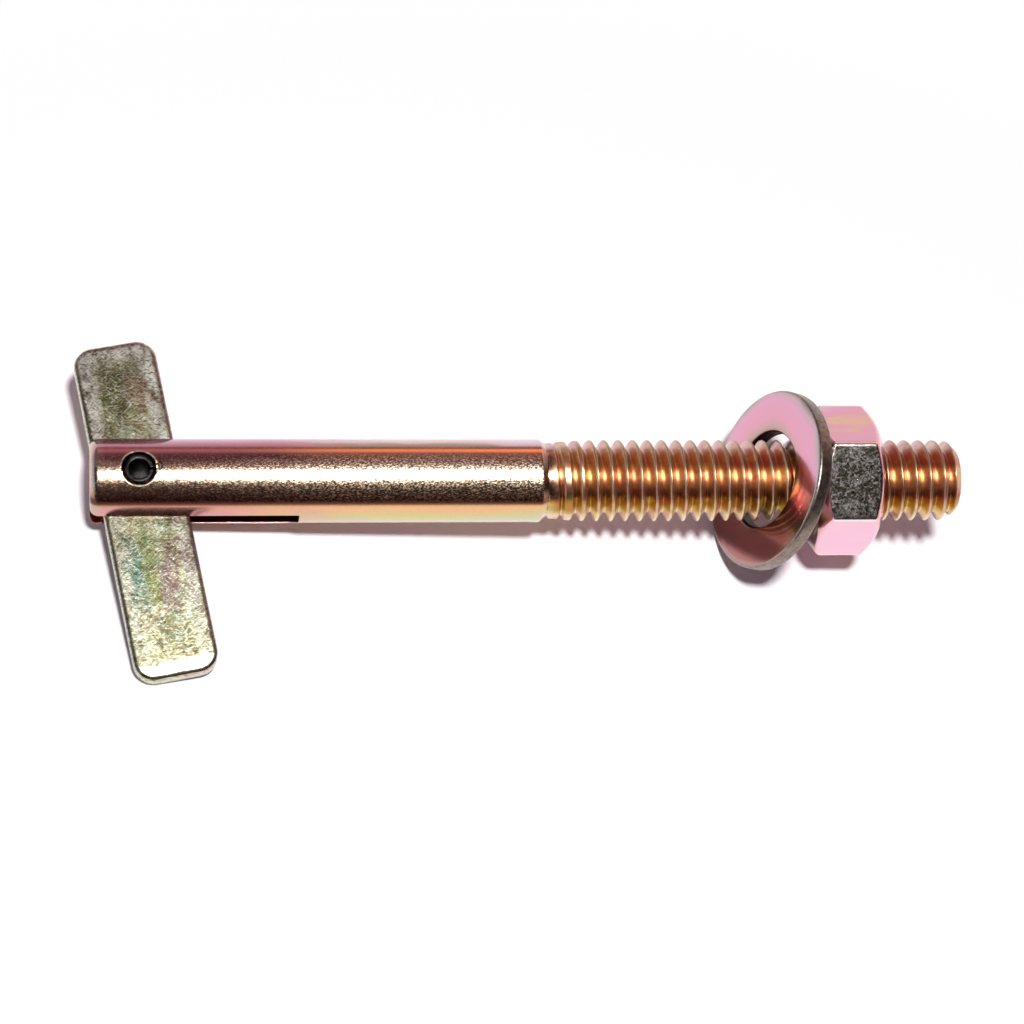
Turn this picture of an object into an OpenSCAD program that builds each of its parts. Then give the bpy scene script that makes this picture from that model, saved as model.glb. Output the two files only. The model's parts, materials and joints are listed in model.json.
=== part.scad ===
// Pivoting cross-bar toggle bolt with a hex nut and a flat washer, lying as it comes to rest.
// Lengths are in millimetres and angles in degrees. The stud's own frame has its axis along +X,
// from the slotted tip to the threaded end, and the pivot pin along +Z. The whole part is then
// laid on the floor, z = 0: it stands on the washer's rim, the tip and the corner of the long arm.

/* [Stud] */
// Length from the slotted tip to the threaded end
stud_length = 83.3; // [76:0.1:120]
// Diameter of the plain shank
shank_d = 7.95; // [7.4:0.05:8.4]
// Length of the plain shank, from the tip to the shoulder
shank_length = 42.4; // [34:0.1:46]
// Radius of the rounded edge at the tip
tip_round = 0.8; // [0.4:0.1:1.2]
// Length of the cone that steps the shank down to the thread
shoulder_length = 0.7; // [0.4:0.1:1.2]

/* [Thread] */
// Diameter over the crests
thread_d = 7.8; // [7.2:0.05:8.2]
// Distance from crest to crest
thread_pitch = 1.411; // [1.2:0.001:1.8]
// Length over which the first crests rise from the neck to full height
thread_run_in = 2.6; // [1.6:0.1:4]
// Length of the chamfer at the threaded end
end_chamfer = 0.9; // [0.5:0.1:1.4]

/* [Toggle bar] */
// Width of the bar
bar_width = 7.85; // [6.6:0.05:9]
// Thickness of the bar
bar_thickness = 1.9; // [1.4:0.05:2.4]
// Length from the pivot to the end of the short arm
short_arm = 13.6; // [10:0.1:16]
// Length from the pivot to the end of the long arm
long_arm = 19.5; // [17:0.1:30]
// Radius of the bar's corners, seen from above
bar_corner = 1.9; // [1:0.1:3]
// Width of the broken edge round both faces of the bar
bar_edge = 0.3; // [0.1:0.05:0.5]
// Angle at rest from the stud's axis to the long arm
bar_angle = 79.5; // [60:0.5:110]

/* [Pivot] */
// Distance from the tip to the pivot
pivot_from_tip = 4.56; // [4:0.02:7]
// Outer diameter of the slotted spring pin
pin_d = 3.175; // [2.4:0.005:3.6]
// Wall of the spring pin
pin_wall = 0.62; // [0.4:0.02:0.8]
// Width of the slit along the spring pin
pin_slit = 0.7; // [0.4:0.05:1]
// Depth of each end of the pin below the crown of the shank
pin_recess = 0.32; // [0.2:0.02:0.6]
// Length of the chamfer at each end of the pin
pin_chamfer = 0.3; // [0.15:0.05:0.5]

/* [Hex nut] */
// Width of the nut across its flats
nut_flats = 12.7; // [11.6:0.1:14.4]
// Height of the nut
nut_height = 6.1; // [4.8:0.1:8]
// Distance from the threaded end to the nut
nut_from_end = 8.3; // [2:0.1:12]
// Turn of the nut about the stud, from a corner that faces along the pin
nut_turn = -9.5; // [-30:0.5:30]
// Length of the countersink at each end of the bore
nut_countersink = 0.45; // [0.2:0.05:0.8]

/* [Flat washer] */
// Outer diameter of the washer
washer_od = 17.55; // [16.6:0.05:22]
// Thickness of the washer
washer_thickness = 1.5; // [1.2:0.05:2.2]
// Radius of the washer's rounded edges
washer_edge = 0.3; // [0.15:0.05:0.5]

/* [Fits] */
// Gap between the bar and each wall of the slot
slot_gap = 0.1; // [0.05:0.01:0.2]
// Gap between the folded short arm and the closed end of the slot
fold_gap = 1.1; // [0.5:0.1:2]
// Radial gap between the spring pin and the bar
pivot_gap = 0.05; // [0.02:0.01:0.1]
// Radial gap between the spring pin and the stud, which grips it
press_gap = 0.01; // [0.01:0.01:0.03]
// Radial gap between the crests and the bore of the nut
nut_gap = 0.06; // [0.02:0.01:0.1]
// Play of the washer's hole over the stud, in diameter
washer_play = 1.45; // [0.9:0.05:1.7]
// Gap left where the tilted washer's hole meets the stud
tilt_gap = 0.05; // [0.03:0.01:0.15]
// Gap between the leaning washer and the nut
lean_gap = 0.08; // [0.03:0.01:0.2]

/* [Hidden] */
$fn = 96;

// How far cutting shapes run past what they cut
overrun = 1;

// Finishes: yellow zinc plating, and the dark steel of the spring pin
zinc_gold = [0.78, 0.62, 0.40];
zinc_green = [0.70, 0.68, 0.50];
zinc_pink = [0.86, 0.64, 0.62];
pin_dark = [0.16, 0.15, 0.14];

// Stud: radii, and the thread as shares of its pitch and diameter
shank_r = shank_d / 2;
thread_r = thread_d / 2;
thread_start = shank_length + shoulder_length;
crest_share = 0.17;
depth_share = 0.53;
flank_angle = 30;
neck_share = 0.885;
neck_r = thread_r * neck_share;
end_r = thread_r - end_chamfer;
crest_flat = thread_pitch * crest_share;
groove_depth = thread_pitch * depth_share;
groove_mouth = thread_pitch - crest_flat;
groove_floor = groove_mouth - 2 * groove_depth * tan(flank_angle);
groove_count = floor((stud_length - thread_start) / thread_pitch);

// Slot: it takes the bar's thickness, and its depth takes the folded short arm
slot_width = bar_thickness + 2 * slot_gap;
corner_along_short = short_arm - bar_corner;
corner_along_long = long_arm - bar_corner;
corner_across = bar_width / 2 - bar_corner;
short_arm_reach = norm([corner_along_short, corner_across]) + bar_corner;
slot_length = pivot_from_tip + short_arm_reach + fold_gap;

// Pivot: the pin sits inside the shank's crown at both ends
pin_r = pin_d / 2;
pin_length = shank_d - 2 * pin_recess;
stud_hole_r = pin_r + press_gap;
bar_hole_r = pin_r + pivot_gap;

// Nut: the chamfers leave a round face on each end
nut_face_share = 0.94;
nut_chamfer_angle = 30;
nut_corner_r = nut_flats / (2 * cos(30));
nut_face_r = nut_flats / 2 * nut_face_share;
nut_chamfer = (nut_corner_r - nut_face_r) * tan(nut_chamfer_angle);
nut_bore_r = thread_r + nut_gap;
nut_inner_x = stud_length - nut_from_end - nut_height;

// Washer: it tilts until its hole meets the stud, and leans on the nut's inner face
washer_r = washer_od / 2;
widest_r = max(thread_r, shank_r);
washer_hole_r = widest_r + washer_play / 2;
half_washer = washer_thickness / 2;
edge_axial = half_washer - washer_edge;
edge_radial = washer_hole_r + washer_edge;
tilt_reach = (widest_r + tilt_gap + washer_edge) / norm([edge_radial, edge_axial]);
washer_tilt = acos(tilt_reach) - atan2(edge_axial, edge_radial);
lean_on_face = nut_face_r * sin(washer_tilt);
lean_on_corner = nut_corner_r * sin(washer_tilt) - nut_chamfer * cos(washer_tilt);
lean_reach = max(lean_on_face, lean_on_corner) + half_washer + lean_gap;
washer_x = nut_inner_x - lean_reach / cos(washer_tilt);

// Slope at rest: the axis rises from the rounded tip to the washer, which stands on its rim
rim_radial = washer_r - washer_edge;
rim_back = rim_radial * sin(washer_tilt) - edge_axial * cos(washer_tilt);
rim_down = rim_radial * cos(washer_tilt) + edge_axial * sin(washer_tilt);
rest_run = washer_x - tip_round - rim_back;
rest_drop = shank_r - tip_round - rim_down;
rest_slope = asin((washer_edge - tip_round) / norm([rest_run, rest_drop])) - atan2(rest_drop, rest_run);
axis_height = (shank_r - tip_round) * cos(rest_slope) + tip_round * (1 - sin(rest_slope));

// Roll at rest: the stud rolls about its axis until the long arm's tip-side corner is on the floor
corner_x = pivot_from_tip + corner_along_long * cos(bar_angle) - corner_across * sin(bar_angle);
corner_y = -corner_along_long * sin(bar_angle) - corner_across * cos(bar_angle);
corner_foot = bar_corner - bar_edge;
function corner_slope(roll) = norm([sin(rest_slope), sin(roll) * cos(rest_slope)]);
function corner_drop(roll) = axis_height + corner_x * sin(rest_slope) - corner_foot * corner_slope(roll)
    - bar_thickness / 2 * cos(roll) * cos(rest_slope);
function settled_roll(roll, passes) = passes == 0 ? roll
    : settled_roll(asin(corner_drop(roll) / (-corner_y * cos(rest_slope))), passes - 1);
roll_passes = 12;
rest_roll = settled_roll(0, roll_passes);

// Middle of the part's outline on the floor, which lies at the origin
bar_left = pivot_from_tip - corner_along_short * cos(bar_angle) - corner_across * sin(bar_angle) - bar_corner;
bar_top = corner_along_short * sin(bar_angle) + corner_across * cos(bar_angle) + bar_corner;
bar_bottom = corner_y - bar_corner;
middle_x = (bar_left + stud_length) / 2 * cos(rest_slope);
middle_y = (bar_top + bar_bottom) / 2 * cos(rest_roll);

// Lays a piece that is built in the stud's own frame, without its roll
module laid() {
    translate([-middle_x, -middle_y, axis_height])
        rotate([0, -rest_slope, 0])
            children();
}

// Lays a piece that rolls with the stud
module laid_and_rolled() {
    laid()
        rotate([rest_roll, 0, 0])
            children();
}

// Turns a shape from the Z axis to the X axis
module along_x() {
    rotate([0, 90, 0])
        children();
}

// Half outline of the turned stud before threading: radius across, length up
module stud_blank_outline() {
    translate([shank_r - tip_round, tip_round])
        circle(tip_round);
    polygon([
        [0, 0],
        [shank_r - tip_round, 0],
        [shank_r, tip_round],
        [shank_r, shank_length],
        [neck_r, thread_start],
        [thread_r, thread_start + thread_run_in],
        [thread_r, stud_length - end_chamfer],
        [end_r, stud_length],
        [0, stud_length]
    ]);
}

// Section of one thread groove, with its mouth carried past the crests
module groove_section() {
    flare = overrun * tan(flank_angle);
    polygon([
        [thread_r - groove_depth, -groove_floor / 2],
        [thread_r - groove_depth, groove_floor / 2],
        [thread_r + overrun, groove_mouth / 2 + flare],
        [thread_r + overrun, -groove_mouth / 2 - flare]
    ]);
}

// Turned stud with its grooves, slotted for the bar and drilled for the pin
module slotted_stud() {
    color(zinc_gold)
        laid_and_rolled()
            difference() {
                along_x()
                    rotate_extrude()
                        difference() {
                            stud_blank_outline();
                            for (turn = [1 : groove_count])
                                translate([0, thread_start + (turn - crest_share) * thread_pitch])
                                    groove_section();
                        }
                translate([-overrun, -shank_r - overrun, -slot_width / 2])
                    cube([slot_length + overrun, shank_d + 2 * overrun, slot_width]);
                translate([pivot_from_tip, 0, 0])
                    cylinder(r = stud_hole_r, h = shank_d + 2 * overrun, center = true);
            }
}

// Section of a slab with broken edges, from low to high across and bar_thickness high
module slab_section(low, high) {
    half = bar_thickness / 2;
    polygon([
        [low, -half + bar_edge],
        [low + bar_edge, -half],
        [high - bar_edge, -half],
        [high, -half + bar_edge],
        [high, half - bar_edge],
        [high - bar_edge, half],
        [low + bar_edge, half],
        [low, half - bar_edge]
    ]);
}

// Flat bar with round corners, its long arm along +X and its pivot at the origin
module bar_blank() {
    half_width = bar_width / 2;
    translate([-corner_along_short, 0, 0])
        rotate([90, 0, 90])
            linear_extrude(corner_along_short + corner_along_long)
                slab_section(-half_width, half_width);
    translate([0, corner_across, 0])
        rotate([90, 0, 0])
            linear_extrude(2 * corner_across)
                slab_section(-short_arm, long_arm);
    for (along = [-corner_along_short, corner_along_long])
        for (across = [-corner_across, corner_across])
            translate([along, across, 0])
                rotate_extrude()
                    intersection() {
                        slab_section(-bar_corner, bar_corner);
                        translate([0, -bar_thickness])
                            square([bar_corner + overrun, 2 * bar_thickness]);
                    }
}

// Cross-bar that pivots in the slot
module toggle_bar() {
    color(zinc_green)
        laid_and_rolled()
            translate([pivot_from_tip, 0, 0])
                rotate([0, 0, -bar_angle])
                    difference() {
                        bar_blank();
                        cylinder(r = bar_hole_r, h = bar_thickness + 2 * overrun, center = true);
                    }
}

// Rolled pin with a slit along it, chamfered at both ends
module spring_pin() {
    half = pin_length / 2;
    color(pin_dark)
        laid_and_rolled()
            translate([pivot_from_tip, 0, 0])
                difference() {
                    rotate_extrude()
                        polygon([
                            [pin_r - pin_wall, -half],
                            [pin_r - pin_chamfer, -half],
                            [pin_r, -half + pin_chamfer],
                            [pin_r, half - pin_chamfer],
                            [pin_r - pin_chamfer, half],
                            [pin_r - pin_wall, half]
                        ]);
                    translate([0, -pin_slit / 2, -half - overrun])
                        cube([pin_r + overrun, pin_slit, pin_length + 2 * overrun]);
                }
}

// Stamped washer with rounded edges, tilted on the stud and leaning on the nut
module flat_washer() {
    color(zinc_pink)
        laid()
            translate([washer_x, 0, 0])
                rotate([0, washer_tilt - 90, 0])
                    rotate_extrude() {
                        translate([washer_hole_r, -edge_axial])
                            square([washer_r - washer_hole_r, 2 * edge_axial]);
                        translate([edge_radial, -half_washer])
                            square([rim_radial - edge_radial, washer_thickness]);
                        for (radial = [edge_radial, rim_radial])
                            for (axial = [-edge_axial, edge_axial])
                                translate([radial, axial])
                                    circle(washer_edge);
                    }
}

// Half outline of the round bar that the nut's corners are turned down to
module nut_turning_outline() {
    polygon([
        [0, 0],
        [nut_face_r, 0],
        [nut_corner_r, nut_chamfer],
        [nut_corner_r, nut_height - nut_chamfer],
        [nut_face_r, nut_height],
        [0, nut_height]
    ]);
}

// Hex nut, chamfered on both ends, with a countersunk bore that clears the crests
module hex_nut() {
    color(zinc_pink)
        laid_and_rolled()
            translate([nut_inner_x, 0, 0])
                rotate([nut_turn, 0, 0])
                    along_x()
                        difference() {
                            intersection() {
                                cylinder(r = nut_corner_r, h = nut_height, $fn = 6);
                                rotate_extrude()
                                    nut_turning_outline();
                            }
                            translate([0, 0, -overrun])
                                cylinder(r = nut_bore_r, h = nut_height + 2 * overrun);
                            cylinder(r1 = nut_bore_r + nut_countersink, r2 = nut_bore_r, h = nut_countersink);
                            translate([0, 0, nut_height - nut_countersink])
                                cylinder(r1 = nut_bore_r, r2 = nut_bore_r + nut_countersink, h = nut_countersink);
                        }
}

slotted_stud();
toggle_bar();
spring_pin();
flat_washer();
hex_nut();
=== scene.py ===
"""Looks of a plated cross-bar toggle bolt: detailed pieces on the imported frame, with procedural plating."""
import json
import math
from types import SimpleNamespace

import bmesh
import bpy
import numpy as np
from mathutils import Matrix, Vector


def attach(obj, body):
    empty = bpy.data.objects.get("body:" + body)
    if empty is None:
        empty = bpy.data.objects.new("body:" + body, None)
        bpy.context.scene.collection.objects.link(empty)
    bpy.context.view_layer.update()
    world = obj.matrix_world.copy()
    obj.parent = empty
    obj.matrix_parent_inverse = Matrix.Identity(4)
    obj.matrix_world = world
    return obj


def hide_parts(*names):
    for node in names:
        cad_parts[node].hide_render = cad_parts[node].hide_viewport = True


# A mm in metres; in mm, how near the points are that a weld joins, and how far a drill reaches each way
MM = 0.001
WELD_MM = 0.002
DRILL_REACH = 9.0

# How near the stud's outside a point is shaded by it, in mm, and from what area a face is shaded flat, in mm2
ON_OUTSIDE_MM = 0.01
FLAT_AREA_MM2 = 1.0

# Stud, in mm, along its own X axis from the slotted tip; CHEEK_Z is a level between the slot and the outside
SHANK_R = 3.975
TIP_ROUND = 0.8
SHANK_END = 42.4
NECK_START = 43.1
NECK_R = 3.42
STUD_LENGTH = 83.298
EDGE_ROUNDING = 0.06
SLOT_LENGTH = 19.43
SLOT_WIDTH = 2.1
PIVOT_FROM_TIP = 4.56
CROSS_HOLE_R = 1.5975
HOLE_LIP = 0.2
DENT_R = 0.55
DENT_X = 6.2
DENT_Y = 0.15
DENT_SINK = 0.06
SLOT_LIP = 0.07
CHEEK_Z = 2.0
SPLIT_X = 30.0
AROUND = 128

# Thread, a right-hand helix with a round root
PITCH = 1.411
CREST_R = 3.9
FIRST_CREST_R = 3.6
CREST_X = 44.405
HALF_CREST = 0.09
CREST_ROUNDING = 0.16
ROOT_ROUNDING = 0.2
FLANK_SLOPE = math.tan(math.radians(60))
CREST_RUN_IN = 5.6
ROOT_RUN_IN = 4.4
END_CHAMFER = 0.9
END_ROUNDING = 0.15
ROWS_PER_TURN = 24

# Cross-bar, with its long arm along its own X axis and its pivot at the origin
BAR_THICKNESS = 1.9
BAR_WIDTH = 7.836
SHORT_ARM = 13.595
LONG_ARM = 19.495
BAR_CORNER = 1.9
BAR_HOLE_R = 1.6375
ROLL_OVER = 0.5
ROLL_DEPTH = 0.26
BURR_SIDE = 0.3
END_DROOP_RUN = 1.6
END_DROOP = 0.16

# Spring pin
PIN_R = 1.5875
PIN_WALL = 0.62
PIN_LENGTH = 7.31
PIN_CHAMFER = 0.3
PIN_SLIT = 0.3
PIN_EDGE = 0.05

# Washer
WASHER_R = 8.775
WASHER_HOLE_R = 4.7
WASHER_THICKNESS = 1.5
WASHER_ROUNDING = 0.3

# Nut
NUT_FLATS = 12.7
NUT_HEIGHT = 6.1
NUT_TURN = math.radians(80.5)
NUT_FACE_R = 5.8
NUT_FACE_INNER_R = NUT_FACE_R - 0.4
NUT_BORE_R = 3.96
NUT_COUNTERSINK = 0.45
NUT_ROUNDING = 0.5
NUT_CORNER_R = NUT_FLATS / math.sqrt(3) - 0.06
NUT_CORNER_ROUNDING = 0.1
NUT_WORN_R = (7.18, 7.24)
CHAMFER_ANGLE = math.radians(30)

# Camera, turned about a point on the stud's axis
CAMERA_AIM_X = 42.0
CAMERA_ROLL = math.radians(2.8722)
CAMERA_TILT = math.radians(-18.4392)
CAMERA_PAN = math.radians(8.5413)
CAMERA_SHIFT_MM = Vector((2.0819, 2.9888, -276.31))
FOCAL_PX = 2891.17
IMAGE_PX = 1024
SENSOR_MM = 36.0

# Lamp, floor and the warm strip of the room; the strip's height is the upward part of its direction
LAMP_MM = Vector((-16, -112, 508))
LAMP_WATTS = 2.75
LAMP_SIZE_MM = 62
FLOOR_SIZE = 6.0
WHITE_FROM_MM = 34.0
WHITE_AT_MM = 70.0
STRIP_HEIGHT = 0.46

# The stud's sides that lie uppermost and in front in the photograph, in its own frame, and the height of
# its painted reflection, a line of orange, from -1 on its lowest side to 1 on its uppermost
UPPER_SIDE = (0.0, 0.944, 0.330)
SEEN_SIDE = (0.0, -0.330, 0.944)
PAINTED_REFLECTION_LINE = 0.72

# Direction on the washer away from its painted shade
WASHER_UP = (0.0, 0.75, 0.66)

# Tinted patches of the bar's plating: middle and size in mm along and across the bar, and colour
BAR_PATCHES = (
    ((-8.6, -1.0), (3.2, 1.6), (0.17, 0.20, 0.05)),
    ((-8.0, 1.8), (2.6, 1.2), (0.42, 0.27, 0.13)),
    ((9.2, -1.8), (3.4, 1.2), (0.10, 0.31, 0.23)),
    ((8.6, -0.6), (4.0, 0.8), (0.29, 0.35, 0.08)),
    ((10.6, 1.0), (3.0, 1.0), (0.38, 0.25, 0.23)),
    ((9.0, 2.9), (5.0, 0.7), (0.34, 0.23, 0.20)),
    ((14.6, 0.2), (1.8, 2.4), (0.26, 0.26, 0.13)),
)

# Tints around the stud, from its lowest side at 0 to its uppermost at 1: by the tip, along the shank and
# on the thread
TIP_TINTS = (
    (0.0, (0.60, 0.36, 0.38)), (0.14, (0.68, 0.33, 0.34)), (0.24, (0.62, 0.32, 0.24)),
    (0.40, (0.70, 0.44, 0.28)), (0.60, (0.84, 0.60, 0.42)), (0.70, (0.72, 0.44, 0.32)),
    (0.76, (0.28, 0.13, 0.11)), (0.82, (0.46, 0.19, 0.19)), (0.90, (0.54, 0.22, 0.25)),
    (1.0, (0.54, 0.37, 0.47)),
)
# On the shank, the dark stops at 0.92 and 0.94 are painted shade.
SHANK_TINTS_AND_SHADE = (
    (0.0, (0.61, 0.60, 0.43)), (0.10, (0.64, 0.59, 0.27)), (0.18, (0.80, 0.48, 0.24)),
    (0.30, (0.70, 0.46, 0.28)), (0.55, (0.84, 0.62, 0.42)), (0.66, (0.96, 0.72, 0.52)),
    (0.74, (0.68, 0.46, 0.30)), (0.82, (0.78, 0.42, 0.24)), (0.90, (0.80, 0.36, 0.22)),
    (0.92, (0.40, 0.29, 0.20)), (0.94, (0.44, 0.32, 0.26)), (0.955, (0.70, 0.48, 0.44)),
    (0.975, (0.72, 0.53, 0.54)), (1.0, (0.72, 0.60, 0.66)),
)
THREAD_TINTS = (
    (0.0, (0.78, 0.64, 0.58)), (0.08, (0.74, 0.62, 0.28)), (0.20, (0.80, 0.60, 0.13)),
    (0.32, (0.78, 0.40, 0.20)), (0.55, (0.88, 0.55, 0.32)), (0.72, (0.80, 0.44, 0.25)),
    (0.88, (0.72, 0.36, 0.28)), (1.0, (0.74, 0.54, 0.58)),
)

# Painted shade: darker bands around the stud, which multiply its tints
SHANK_PAINTED_SHADE = (
    (0.185, (1.0, 1.0, 1.0)), (0.205, (0.85, 0.85, 0.80)), (0.224, (0.34, 0.22, 0.16)),
    (0.24, (0.20, 0.12, 0.12)), (0.28, (0.24, 0.15, 0.14)), (0.32, (0.72, 0.56, 0.52)),
    (0.37, (0.90, 0.82, 0.76)), (0.44, (1.0, 1.0, 1.0)),
)
THREAD_PAINTED_SHADE = (
    (0.06, (1.0, 0.95, 0.80)), (0.12, (0.54, 0.44, 0.20)), (0.19, (0.62, 0.42, 0.26)),
    (0.25, (0.44, 0.28, 0.30)), (0.28, (0.34, 0.24, 0.34)), (0.34, (0.72, 0.62, 0.66)),
    (0.40, (0.92, 0.92, 1.0)), (0.66, (1.0, 1.0, 0.90)), (0.75, (0.86, 0.86, 0.62)),
    (0.84, (0.76, 0.80, 0.50)), (0.90, (0.74, 0.80, 0.60)), (0.95, (0.80, 0.84, 0.76)),
)

# Tints of the stud's hidden side and of the nut along a slow drift, and of the washer from hole to rim
HIDDEN_TINTS = ((0.34, (0.82, 0.62, 0.34)), (0.50, (0.80, 0.52, 0.36)), (0.64, (0.76, 0.44, 0.48)))
NUT_TINTS = (
    (0.32, (0.84, 0.52, 0.34)), (0.44, (0.84, 0.42, 0.44)), (0.60, (0.84, 0.42, 0.52)),
    (0.75, (0.80, 0.56, 0.58)),
)
WASHER_TINTS = (
    (0.0, (0.34, 0.28, 0.20)), (0.14, (0.54, 0.37, 0.34)), (0.30, (0.70, 0.35, 0.44)),
    (0.74, (0.70, 0.37, 0.49)), (0.88, (0.54, 0.40, 0.42)), (1.0, (0.28, 0.26, 0.21)),
)
PIN_TINTS = ((0.35, (0.012, 0.010, 0.010)), (0.65, (0.040, 0.036, 0.036)))

# The dim room from its near side to its far side
ROOM_TINTS = (
    (0.0, (0.042, 0.032, 0.042)), (0.45, (0.052, 0.038, 0.050)), (0.75, (0.22, 0.15, 0.19)),
    (1.0, (0.26, 0.17, 0.22)),
)

# Depth of each finish's bump, in mm
STUD_BUMP = 0.0025
BAR_BUMP = 0.016
WASHER_BUMP = 0.03
NUT_BUMP = 0.024
PIN_BUMP = 0.01


def frame_of(origin, x_axis, z_axis):
    """Matrix of a piece's own frame: x_axis and z_axis at right angles, y between them."""
    x_axis = Vector(x_axis).normalized()
    y_axis = Vector(z_axis).cross(x_axis).normalized()
    turn = Matrix((x_axis, y_axis, x_axis.cross(y_axis))).transposed()
    return Matrix.Translation(origin) @ turn.to_4x4()


def smooth_min(a, b, width):
    """The smaller of two lengths, with the corner between them rounded over width."""
    near = np.maximum(width - np.abs(a - b), 0)
    return np.minimum(a, b) - near ** 2 / (4 * width)


def smooth_max(a, b, width):
    """The larger of two lengths, with the corner between them rounded over width."""
    return -smooth_min(-a, -b, width)


def ease(low, high, x):
    """0 below low, 1 above high, and a smooth step between."""
    t = np.clip((x - low) / (high - low), 0, 1)
    return t * t * (3 - 2 * t)


def arc(centre, radius, start, end, count):
    """Points of an arc in a plane, from one angle in degrees to another."""
    angles = np.radians(np.linspace(start, end, count))
    return [(centre[0] + radius * math.cos(a), centre[1] + radius * math.sin(a)) for a in angles]


def new_object(name, points, faces):
    """Object from points in mm, in the piece's own frame."""
    mesh = bpy.data.meshes.new(name)
    mesh.from_pydata((np.asarray(points).reshape(-1, 3) * MM).tolist(), [], faces)
    made = bpy.data.objects.new(name, mesh)
    bpy.context.scene.collection.objects.link(made)
    return made


def grid_faces(rows, columns, closed_rows=False):
    """Quads between the rows of a grid of points whose columns close up."""
    faces = []
    for i in range(rows if closed_rows else rows - 1):
        low, high = i * columns, (i + 1) % rows * columns
        for j in range(columns):
            k = (j + 1) % columns
            faces.append((low + j, low + k, high + k, high + j))
    return faces


def turned(x, radius, columns):
    """Grid of points around the X axis, from an x and a radius for every row, or every point."""
    around = np.linspace(0, 2 * math.pi, columns, endpoint=False)
    x, radius = (np.asarray(values).reshape(len(x), -1) for values in (x, radius))
    x, radius = (np.broadcast_to(values, (len(x), columns)) for values in (x, radius))
    return np.stack([x, radius * np.cos(around), radius * np.sin(around)], axis=2)


def cut(piece, cutter):
    """Takes a cutter's volume out of a piece and deletes the cutter."""
    step = piece.modifiers.new("cut", "BOOLEAN")
    step.operation = "DIFFERENCE"
    step.solver = "EXACT"
    step.object = cutter
    graph = bpy.context.evaluated_depsgraph_get()
    mesh = bpy.data.meshes.new_from_object(piece.evaluated_get(graph))
    piece.modifiers.clear()
    piece.data = mesh
    bpy.data.objects.remove(cutter)


def break_edges(piece, width, chosen, segments=2, sharper_than=35):
    """Bevels the sharp edges that chosen accepts, by the edge's middle in mm."""
    work = bmesh.new()
    work.from_mesh(piece.data)
    edges = []
    for edge in work.edges:
        middle = (edge.verts[0].co + edge.verts[1].co) / 2 / MM
        sharp = len(edge.link_faces) == 2 and edge.calc_face_angle() > math.radians(sharper_than)
        if sharp and chosen(middle):
            edges.append(edge)
    bmesh.ops.bevel(work, geom=edges, offset=width * MM, segments=segments, profile=0.5, affect="EDGES")
    work.to_mesh(piece.data)
    work.free()


def weld(piece):
    """Joins points that coincide, and turns all faces outwards."""
    work = bmesh.new()
    work.from_mesh(piece.data)
    bmesh.ops.remove_doubles(work, verts=work.verts, dist=WELD_MM * MM)
    bmesh.ops.recalc_face_normals(work, faces=work.faces)
    work.to_mesh(piece.data)
    work.free()


def finish_piece(piece, place, node, body, material, sharp=40):
    """Shades a piece, puts it in its place in the frame, and gives it its finish and body."""
    mesh = piece.data
    mesh.shade_smooth()
    mesh.set_sharp_from_angle(angle=math.radians(sharp))
    mesh.transform(place)
    mesh.materials.clear()
    mesh.materials.append(material)
    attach(piece, body)
    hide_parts(node)


def slot_cutter():
    """Box that cuts the slot, open at the tip and on both sides."""
    reach = 2 * SHANK_R
    half = SLOT_WIDTH / 2
    points = [(x, y, z) for x in (-1, SLOT_LENGTH) for y in (-reach, reach) for z in (-half, half)]
    faces = [(0, 1, 3, 2), (4, 6, 7, 5), (0, 4, 5, 1), (2, 3, 7, 6), (0, 2, 6, 4), (1, 5, 7, 3)]
    return new_object("slot_cutter", points, faces)


def drill(radius, x=0.0, columns=72):
    """Cutter for a round hole along Z."""
    points = turned([-DRILL_REACH, DRILL_REACH], [radius, radius], columns)[:, :, [1, 2, 0]]
    faces = grid_faces(2, columns) + [tuple(range(columns))[::-1], tuple(range(columns, 2 * columns))]
    return new_object("drill", points + np.array((x, 0, 0)), faces)


def dent_cutter(columns=24):
    """Small ball that dents the rim of the cross hole."""
    profile = arc((0, 0), DENT_R, 180, 0, 13)[1:-1]
    x, radius = np.array(profile).T
    points = turned(x, radius, columns) + np.array((DENT_X, DENT_Y, SHANK_R - DENT_SINK))
    rows = len(profile)
    ends = [tuple(range(columns))[::-1], tuple(range((rows - 1) * columns, rows * columns))]
    return new_object("dent_cutter", points, grid_faces(rows, columns) + ends)


def thread_radius(x, around):
    """Radius of a rounded 60 degree thread whose ridges rise and roots deepen from the neck on."""
    turn = (x - CREST_X) / PITCH - around / (2 * math.pi)
    from_crest = np.abs(turn - np.round(turn)) * PITCH
    rise = np.hypot(FLANK_SLOPE * (PITCH / 2 - from_crest), ROOT_ROUNDING) - ROOT_ROUNDING
    full = FLANK_SLOPE * (PITCH / 2 - HALF_CREST) - ROOT_ROUNDING
    short = 1 - np.clip((x - NECK_START) / CREST_RUN_IN, 0, 1)
    crest = CREST_R - (CREST_R - FIRST_CREST_R) * short ** 2
    root = NECK_R - (full - CREST_R + NECK_R) * ease(NECK_START, NECK_START + ROOT_RUN_IN, x)
    end = CREST_R - END_CHAMFER + (STUD_LENGTH - x)
    return smooth_min(root + smooth_min(rise, crest - root, CREST_ROUNDING), end, END_ROUNDING)


def stud_radius(x, around):
    """Radius of the stud's turned outside: rounded tip, shank, cone and thread."""
    tip = SHANK_R - TIP_ROUND * (1 - np.sqrt(1 - np.clip(1 - x / TIP_ROUND, 0, 1) ** 2))
    cone = SHANK_R - (SHANK_R - NECK_R) / (NECK_START - SHANK_END) * (x - SHANK_END)
    behind = smooth_max(cone, thread_radius(x, around), EDGE_ROUNDING)
    return smooth_min(tip, behind, EDGE_ROUNDING)


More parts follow.
